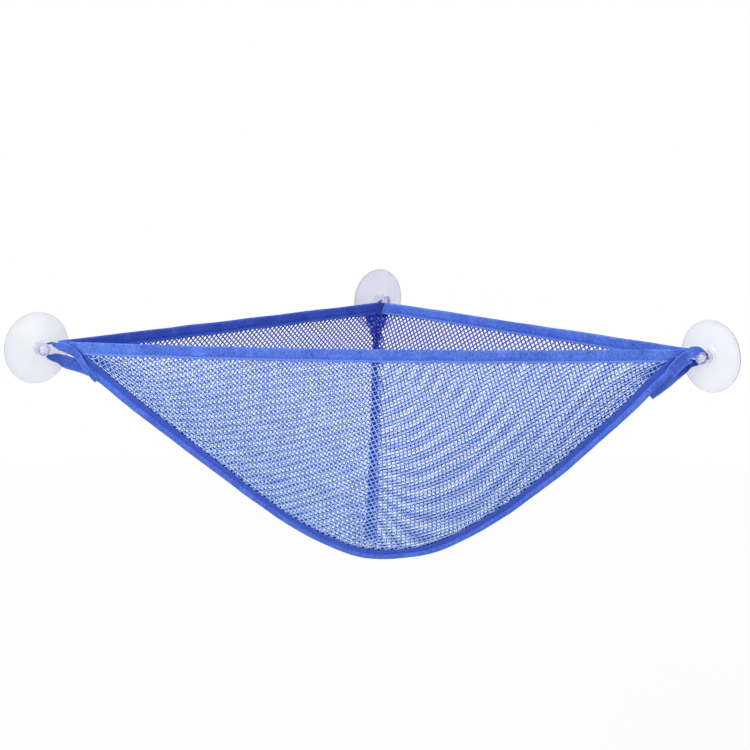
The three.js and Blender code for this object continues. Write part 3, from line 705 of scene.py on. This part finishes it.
tapes = {
    "front_rim": addTape("front_rim_binding", rimStations(frontPath, count=240, slant=rimEnds["leftSlant"]),
                         rimTape, rimBlue),
    "left_rim": addTape("left_rim_binding", rimStations(leftPath, count=160, slant=rimEnds["leftSlant"]),
                        rimTape, shadedRim),
    "right_rim": addTape("right_rim_binding", rimStations(rightPath, count=240, slant=rimEnds["lapSlant"]),
                         rimTape, rimBlue),
    "bottom_seam": addTape("bottom_seam_binding", seamStations(**seamEnds), seamTape, seamBlue),
}
print("bindings folded over the edges")


# Strip of doubled mesh down the back corner
stripLook = {
    "width": 9.4 * mm,
    "flareWidth": 27 * mm,
    "flareLength": 22 * mm,
    "shift": -7 * mm,
    "lift": 1.3 * mm,
    "lean": 1.4,
    "rise": 5 * mm,
    "rows": 41,
    "sides": (-1, -0.5, 0, 0.5, 1),  # from the left edge over the middle to the right edge
    "pitch": (1.8 * mm, 1.8 * mm),
    "thread": 1.15 * mm,
    "depth": 0.5 * mm,
    "slack": 0.3 * mm,
    "slackSize": 12 * mm,
    "turn": 28,
}


def stripPoint(share, offset):  # a point of the corner strip, offset to the left or right of the corner
    perShare = seamLength + (2 * (backCorner - leftCorner).length - seamLength) * (1 - share)
    edgeColumn = backColumn(0.5 + offset / perShare)[1:-1]
    return between([(point,) for point in edgeColumn], share)[0]


stripLength = pathLength(backColumn(0.5)[1:-1])
stripColumns = []
stripFlat = []
for side in stripLook["sides"]:
    column = []
    row = []
    for i in range(stripLook["rows"]):
        share = i / stripLook["rows"]
        flare = 1 - smooth(share * stripLength / stripLook["flareLength"])
        half = (stripLook["width"] + (stripLook["flareWidth"] - stripLook["width"]) * flare) / 2
        inward = (inside + up * stripLook["lean"] * share).normalized()
        column.append(stripPoint(share, side * half + stripLook["shift"]) + inward * stripLook["lift"])
        row.append(Vector((side * half, -share * stripLength, 0)))
    stripColumns.append([column[0] + up * stripLook["rise"], *column])
    stripFlat.append([row[0] + Vector((0, stripLook["rise"], 0)), *row])
bm = threadMesh(stripColumns, stripFlat, stripLook)
piece = addPiece(bm, "corner_seam_threads", doubledShadedBlue, "corner_seam", "bag")
panelArea(stripColumns)
print("corner strip of", len(piece.data.polygons), "faces")


# Sewing: short stitches along the tapes and the corner strip, and thick dark stitches down the lapped rim
# tape's cut end as a painted shadow line
stitchLook = {"spacing": 3.2 * mm, "length": 2.5 * mm, "radius": 0.3 * mm, "lift": 0.1 * mm,
              "slopeShare": 0.02, "cornerStart": 0.15, "cornerLift": 0.3 * mm}
# painted shadow: a row of thick dark stitches stands in for the shadow line under the lap's cut end
lapShadowLine = {  # placed by shares of the tape's width, and its length is a share of the spacing
    "count": 6,
    "start": 0.03,
    "spacing": 0.075,
    "length": 0.95,
    "inset": 0.4 * mm,
    "radius": 1.0 * mm,
}


def addStitch(bm, start, end, out, radius):
    along = (end - start) / 2
    side = along.normalized().cross(out)
    turn = Matrix((side * radius, out * radius, along)).transposed().to_4x4()
    bmesh.ops.create_uvsphere(bm, u_segments=6, v_segments=4, radius=1,
                              matrix=Matrix.Translation(start + along) @ turn)


def stitchRow(bm, surface, length, line, ends):
    count = int((ends[1] - ends[0]) / stitchLook["spacing"])
    for i in range(count):
        middle = ends[0] + (i + 0.5) * stitchLook["spacing"]
        start = surface((middle - stitchLook["length"] / 2) / length, line)
        end = surface((middle + stitchLook["length"] / 2) / length, line)
        aside = stitchLook["slopeShare"]
        wide = surface(middle / length, line + aside) - surface(middle / length, line - aside)
        out = (end - start).cross(wide).normalized()
        lift = out * stitchLook["lift"]
        addStitch(bm, start + lift, end + lift, out, stitchLook["radius"])


stitchClear = {  # at each end of a row
    "front_rim": (16 * mm, 16 * mm),
    "left_rim": (16 * mm, 3 * mm),
    "right_rim": (4 * mm, 16 * mm),
    "bottom_seam": (44 * mm, 44 * mm),
}
for edge, clear in stitchClear.items():
    surface, length, line = tapes[edge]
    bm = bmesh.new()
    for side in (line, 1 - line):
        stitchRow(bm, surface, length, side, (clear[0], length - clear[1]))
    addPiece(bm, edge + "_stitches", threadBlue, edge + "_stitching", "bag")

bm = bmesh.new()
seamLine = [(point,) for point in stripColumns[stripLook["sides"].index(0)]]
for i in range(int(stripLength / stitchLook["spacing"]) - 1):
    place = (i + stitchLook["cornerStart"]) * stitchLook["spacing"]
    start = between(seamLine, place / stripLength)[0]
    end = between(seamLine, (place + stitchLook["length"]) / stripLength)[0]
    along = (end - start).normalized()
    out = (inside - along * inside.dot(along)).normalized()
    lift = out * stitchLook["cornerLift"]
    addStitch(bm, start + lift, end + lift, out, stitchLook["radius"])
surface, length, _ = tapes["right_rim"]
inset = lapShadowLine["inset"]
for i in range(lapShadowLine["count"]):  # painted shadow: thick dark stitches down the cut end of the lapped rim tape stand in for the shadow line under it
    start = surface(inset / length, lapShadowLine["start"] + i * lapShadowLine["spacing"])
    end = surface(inset / length, lapShadowLine["start"] + (i + lapShadowLine["length"]) * lapShadowLine["spacing"])
    addStitch(bm, start - leftToBack * inset, end - leftToBack * inset, inside, lapShadowLine["radius"])
addPiece(bm, "corner_seam_stitches", darkThreadAndShadow, "corner_seam_stitching", "bag")
print("stitches sewn")


# Tape loops: a leg sewn to the bag, a gathered turn round the cup's neck, and a leg back.
# A leg's station on a seam is its distance from the corner, how far its outer edge hangs past the seam,
# and its width. One at a corner is along the rim, up, forward, and the width. One at a neck is before it,
# above it, toward the cup's head, and the width. All are in mm.
loopLook = {
    "ring": 2.75 * mm,
    "pleats": 2,
    "pleat": 0.3 * mm,
    "legLift": 2.9 * mm,
    "rimLegLift": 2.3 * mm,
    "rimLegDrop": 1.1 * mm,
    "thickness": 0.65 * mm,
    "curl": 0.35 * mm,
    "crease": 0.2 * mm,
    "creaseSize": 9 * mm,
    "gatherRun": 2 * mm,  # of its width, from flat to gathered
    "neckLean": 0.5,
    "steps": 12,
    "rows": 14,
    "bend": (3 * mm, 7 * mm),  # before and past the corner
    "closedShare": 0.7,  # of its length, up to where a closed loop's inner side has full painted shade
    "closedFade": 0.12,
}
leftLoop = {
    "frontLeg": [(40, 0.9, 4.2), (29.6, -1.1, 4), (20.6, -3.4, 4.6), (16.4, -4.3, 5.2), (7.8, -2.5, 7)],
    "corner": [(4.3, 1.2, 2.6, 6.2), (0, 2.4, 2.6, 3.8)],
    "before": [(7.2, 3.9, 0.4, 1.8)],
    "turn": (0, 45, 90, 135, 180),
    "after": [(6.3, -6.8, 0, 4.2)],
    "backLeg": [(6, 10.5, 7.4), (13.5, 9.6, 10), (20, 6.8, 10), (26, 4.3, 10), (34, 2, 10), (43, 1, 10)],
    "gathered": 1.5 * mm,
    "ringShift": 1.5 * mm,
    "closed": 0,
}
rightLoop = {  # its front leg crosses the cup's head and folds back behind it
    "frontLeg": [(21, 2.1, 8.4), (14, 2.2, 9.2), (7, 2.7, 9.8)],
    "corner": [(1.5, 0.4, 6, 10)],
    "before": [(4.6, 3.3, 10, 9.8), (1.4, 5.6, 6.6, 6.4), (-2.9, 2.2, 0.4, 2.8)],
    "turn": (90, 135, 180),
    "after": [(5.5, -5.2, 0, 4)],
    "backLeg": [(5, 7.9, 6.5), (13, 7.6, 8.5), (20, 7, 9), (27, 6.6, 9), (35, 5.7, 9), (44, 4.3, 8.5)],
    "gathered": 3.4 * mm,
    "ringShift": 0.2 * mm,
    # painted shade on the inner side of its back strand
    "closed": 0.8,
}
backLoop = {
    "legs": (30, 15, 7, 2),
    "before": [(8, -2.6, 0, 2)],
    "turn": (0, 45, 90, 135, 180),
    "after": [(8, -4.5, 0, 2)],
    "gathered": 1.5 * mm,
    "ringShift": 1.5 * mm,
}


def width(value):  # kept as a vector, so that a station is a row of vectors
    return Vector((value, 0, 0))


def seamLeg(end, side, distance, drop, wide):
    point, _, inward, back = seamFrame(abs(end - distance * mm / seamLength))
    middle = point + inward * (wide / 2 - drop) * mm + back * side * loopLook["legLift"]
    return middle, inward, width(wide * mm)


def rimLeg(run, outside, distance):
    middle = backCorner + run * distance * mm + outside * loopLook["rimLegLift"] - up * loopLook["rimLegDrop"]
    return middle, up, width(tapeWidth)


def neckTurn(neck, axis, outward, look):  # to the neck, round its far side and away under it
    lean = loopLook["neckLean"]

    def near(back, rise, shift, wide):
        return neck + (up * rise - outward * back + axis * shift) * mm, up - axis * lean, width(wide * mm)

    turn = []
    for angle in look["turn"]:
        way = up * math.cos(math.radians(angle)) + outward * math.sin(math.radians(angle))
        point = neck + axis * look["ringShift"] + way * loopLook["ring"]
        turn.append((point, -axis, width(look["gathered"])))
    return [near(*place) for place in look["before"]] + turn + [near(*place) for place in look["after"]]


def loopStations(knots, steps):  # a rounded path through the knots: point, way across, way out and width
    points = [knot[0] for knot in knots]
    last = len(points) - 1
    ways = [(points[min(i + 1, last)] - points[max(i - 1, 0)]).normalized() for i in range(last + 1)]
    made = []
    for i in range(last):
        third = (points[i + 1] - points[i]).length / 3
        part = interpolate_bezier(points[i], points[i] + ways[i] * third, points[i + 1] - ways[i + 1] * third,
                                  points[i + 1], steps + 1)
        for j in range(steps + (i == last - 1)):
            mix = smooth(j / steps)
            wide, size = [a.lerp(b, mix) for a, b in zip(knots[i][1:], knots[i + 1][1:])]
            made.append((part[j], wide, size))
    stations = []
    for i, (point, wide, size) in enumerate(made):
        along = (made[min(i + 1, len(made) - 1)][0] - made[max(i - 1, 0)][0]).normalized()
        wide = (wide - along * wide.dot(along)).normalized()
        stations.append((point, wide, wide.cross(along), size))
    return stations


def ribbon(stations):
    def surface(u, w):
        point, wide, thick, size = between(stations, u)
        gather = smooth((tapeWidth / 2 - size.x) / loopLook["gatherRun"])
        across = (w - 0.5) * size.x
        lift = gather * loopLook["pleat"] * math.cos(2 * math.pi * loopLook["pleats"] * w)
        lift -= (1 - gather) * loopLook["curl"] * (2 * w - 1) ** 4
        lift += noise.noise(point / loopLook["creaseSize"]) * loopLook["crease"]
        return point + wide * across + thick * lift
    return surface


def addLoop(node, knots, closed=0):
    stations = loopStations(knots, loopLook["steps"])
    length = pathLength([station[0] for station in stations])
    bm = clothGrid(ribbon(stations), len(stations) - 1, loopLook["rows"], (length, tapeWidth),
                   loopLook["thickness"])
    bm.normal_update()
    cloth = bm.loops.layers.uv["cloth"]
    inner = bm.faces.layers.float.new("inner")
    # painted shade: past half its length, the faces that look forward are the back strand's inner side,
    # shaded by the front strand
    for face in bm.faces:
        share = face.loops[0][cloth].uv.x / length
        if share > 0.5 and face.normal.dot(forward) > 0:
            face[inner] = closed * (1 - smooth((share - loopLook["closedShare"]) / loopLook["closedFade"]))
    piece = addPiece(bm, node + "_tape", loopBlue, node)
    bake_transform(piece)


tackLook = {
    "gaps": 12,
    "share": 0.7,  # of the tape's width
    "half": 0.75 * mm,
    "lean": 0.2 * mm,
    "lift": 0.5 * mm,
    "radius": 0.34 * mm,
    "fromSeamEnd": 4,  # in mm, as the legs are
    "fromRimEnd": 5,
}


def addTack(node, station, outside):  # a bar tack: tight zigzag stitches across the tape
    bm = bmesh.new()
    middle, wide, size = station
    along = wide.cross(outside) * tackLook["half"]
    centre = middle + outside * tackLook["lift"]
    for i in range(tackLook["gaps"] + 1):
        place = (i / tackLook["gaps"] - 0.5) * size.x * tackLook["share"]
        start = centre + wide * (place - tackLook["lean"]) - along
        end = centre + wide * (place + tackLook["lean"]) + along
        addStitch(bm, start, end, outside, tackLook["radius"])
    addPiece(bm, node + "_stitches", threadBlue, node, "bag")


def cupJoint(name):
    return Vector(joints[name]["pos_m"]), Vector(joints[name]["axis"]).normalized()


for side, end, corner, look in (("left", 0, leftCorner, leftLoop), ("right", 1, rightCorner, rightLoop)):
    neck, axis = cupJoint(side + "_cup_swivel")
    outward = (neck - corner).normalized()
    run = rimway if side == "left" else -rimway
    knots = [seamLeg(end, -1, *place) for place in look["frontLeg"]]
    for along, rise, out, wide in look["corner"]:
        knots.append((corner + run * along * mm + up * rise * mm + forward * out * mm, up, width(wide * mm)))
    knots += neckTurn(neck, axis, outward, look)
    knots += [seamLeg(end, 1, *place) for place in look["backLeg"]]
    addLoop(side + "_loop", knots, look["closed"])
    distance, drop, wide = look["frontLeg"][0]
    back = seamFrame(abs(end - distance * mm / seamLength))[3]
    addTack(side + "_loop_tack", seamLeg(end, -1, distance - tackLook["fromSeamEnd"], drop, wide), -back)

neck, axis = cupJoint("back_cup_swivel")
leftOutside = up.cross(leftToBack)
rightOutside = up.cross(backToRight)
knots = [rimLeg(-leftToBack, leftOutside, distance) for distance in backLoop["legs"]]
knots += neckTurn(neck, axis, Vector((1, 1, 0)).normalized(), backLoop)
knots += [rimLeg(backToRight, rightOutside, distance) for distance in reversed(backLoop["legs"])]
addLoop("back_loop", knots)
distance = backLoop["legs"][0] - tackLook["fromRimEnd"]
addTack("back_loop_left_tack", rimLeg(-leftToBack, leftOutside, distance), leftOutside)
addTack("back_loop_right_tack", rimLeg(backToRight, rightOutside, distance), rightOutside)
print("loops turned round the necks")


# Suction cups, each one turned moulding: skirt, hub, flange, neck and head
cupLook = {
    "neckMiddle": 8.6 * mm,
    "profile": [  # radius and height off the wall, with the rounding at each point, in mm
        (0, 2.6, 0), (12, 2.2, 4), (23.5, 0, 0.4), (27.3, 0, 0.25), (27.5, 0.9, 0.3), (17, 2.1, 6),
        (7.9, 3.9, 1.2), (7.1, 5.0, 0.6), (5.25, 5.1, 0.3), (5.25, 6.2, 0.4), (2.3, 6.3, 0.5),
        (2.3, 10.9, 0.5), (5, 11.0, 0.5), (5, 13.2, 1.6), (2.6, 15.1, 1.6), (0, 15.2, 0),
    ],
    "roundingSteps": 4,
    "steps": 72,
    "edge": (27.1 * mm, 0.3 * mm),  # radius where the painted shade line starts, and the run to its full shade
    "edgeShade": 0.6,
    "thick": (5 * mm, 1.5 * mm),  # height where the thick part starts, and the run to its full shade
}


def addCup(node, material):
    neck, axis = cupJoint(node + "_swivel")
    foot = neck - axis * cupLook["neckMiddle"]
    bm = bmesh.new()
    verts = [bm.verts.new((radius * mm, 0, height * mm)) for radius, height, _ in cupLook["profile"]]
    for a, b in zip(verts, verts[1:]):
        bm.edges.new((a, b))
    for vert, (_, _, rounding) in zip(verts, cupLook["profile"]):
        if rounding:
            bmesh.ops.bevel(bm, geom=[vert], offset=rounding * mm, offset_type="OFFSET", affect="VERTICES",
                            segments=cupLook["roundingSteps"], profile=0.5, material=-1)
    bmesh.ops.spin(bm, geom=bm.verts[:] + bm.edges[:], cent=(0, 0, 0), axis=(0, 0, 1), angle=2 * math.pi,
                   steps=cupLook["steps"], use_merge=True)
    bmesh.ops.remove_doubles(bm, verts=bm.verts, dist=0.005 * mm)
    bmesh.ops.recalc_face_normals(bm, faces=bm.faces)
    edge = bm.verts.layers.float.new("edge")
    thick = bm.verts.layers.float.new("thick")
    edgeStart, edgeRun = cupLook["edge"]
    thickStart, thickRun = cupLook["thick"]
    for vert in bm.verts:
        vert[edge] = cupLook["edgeShade"] * smooth((vert.co.xy.length - edgeStart) / edgeRun)
        vert[thick] = smooth((vert.co.z - thickStart) / thickRun)
    stand = Matrix.Translation(foot) @ axis.to_track_quat("Z", "X").to_matrix().to_4x4()
    bmesh.ops.transform(bm, matrix=stand, verts=bm.verts)
    piece = addPiece(bm, node + "_moulding", material, node, node)
    print(node, "of", len(piece.data.polygons), "faces")


addCup("left_cup", vinyl)
addCup("right_cup", vinyl)
# painted shade on the back cup, through its darker copy of the vinyl
addCup("back_cup", shadedVinyl)
print("cups moulded")
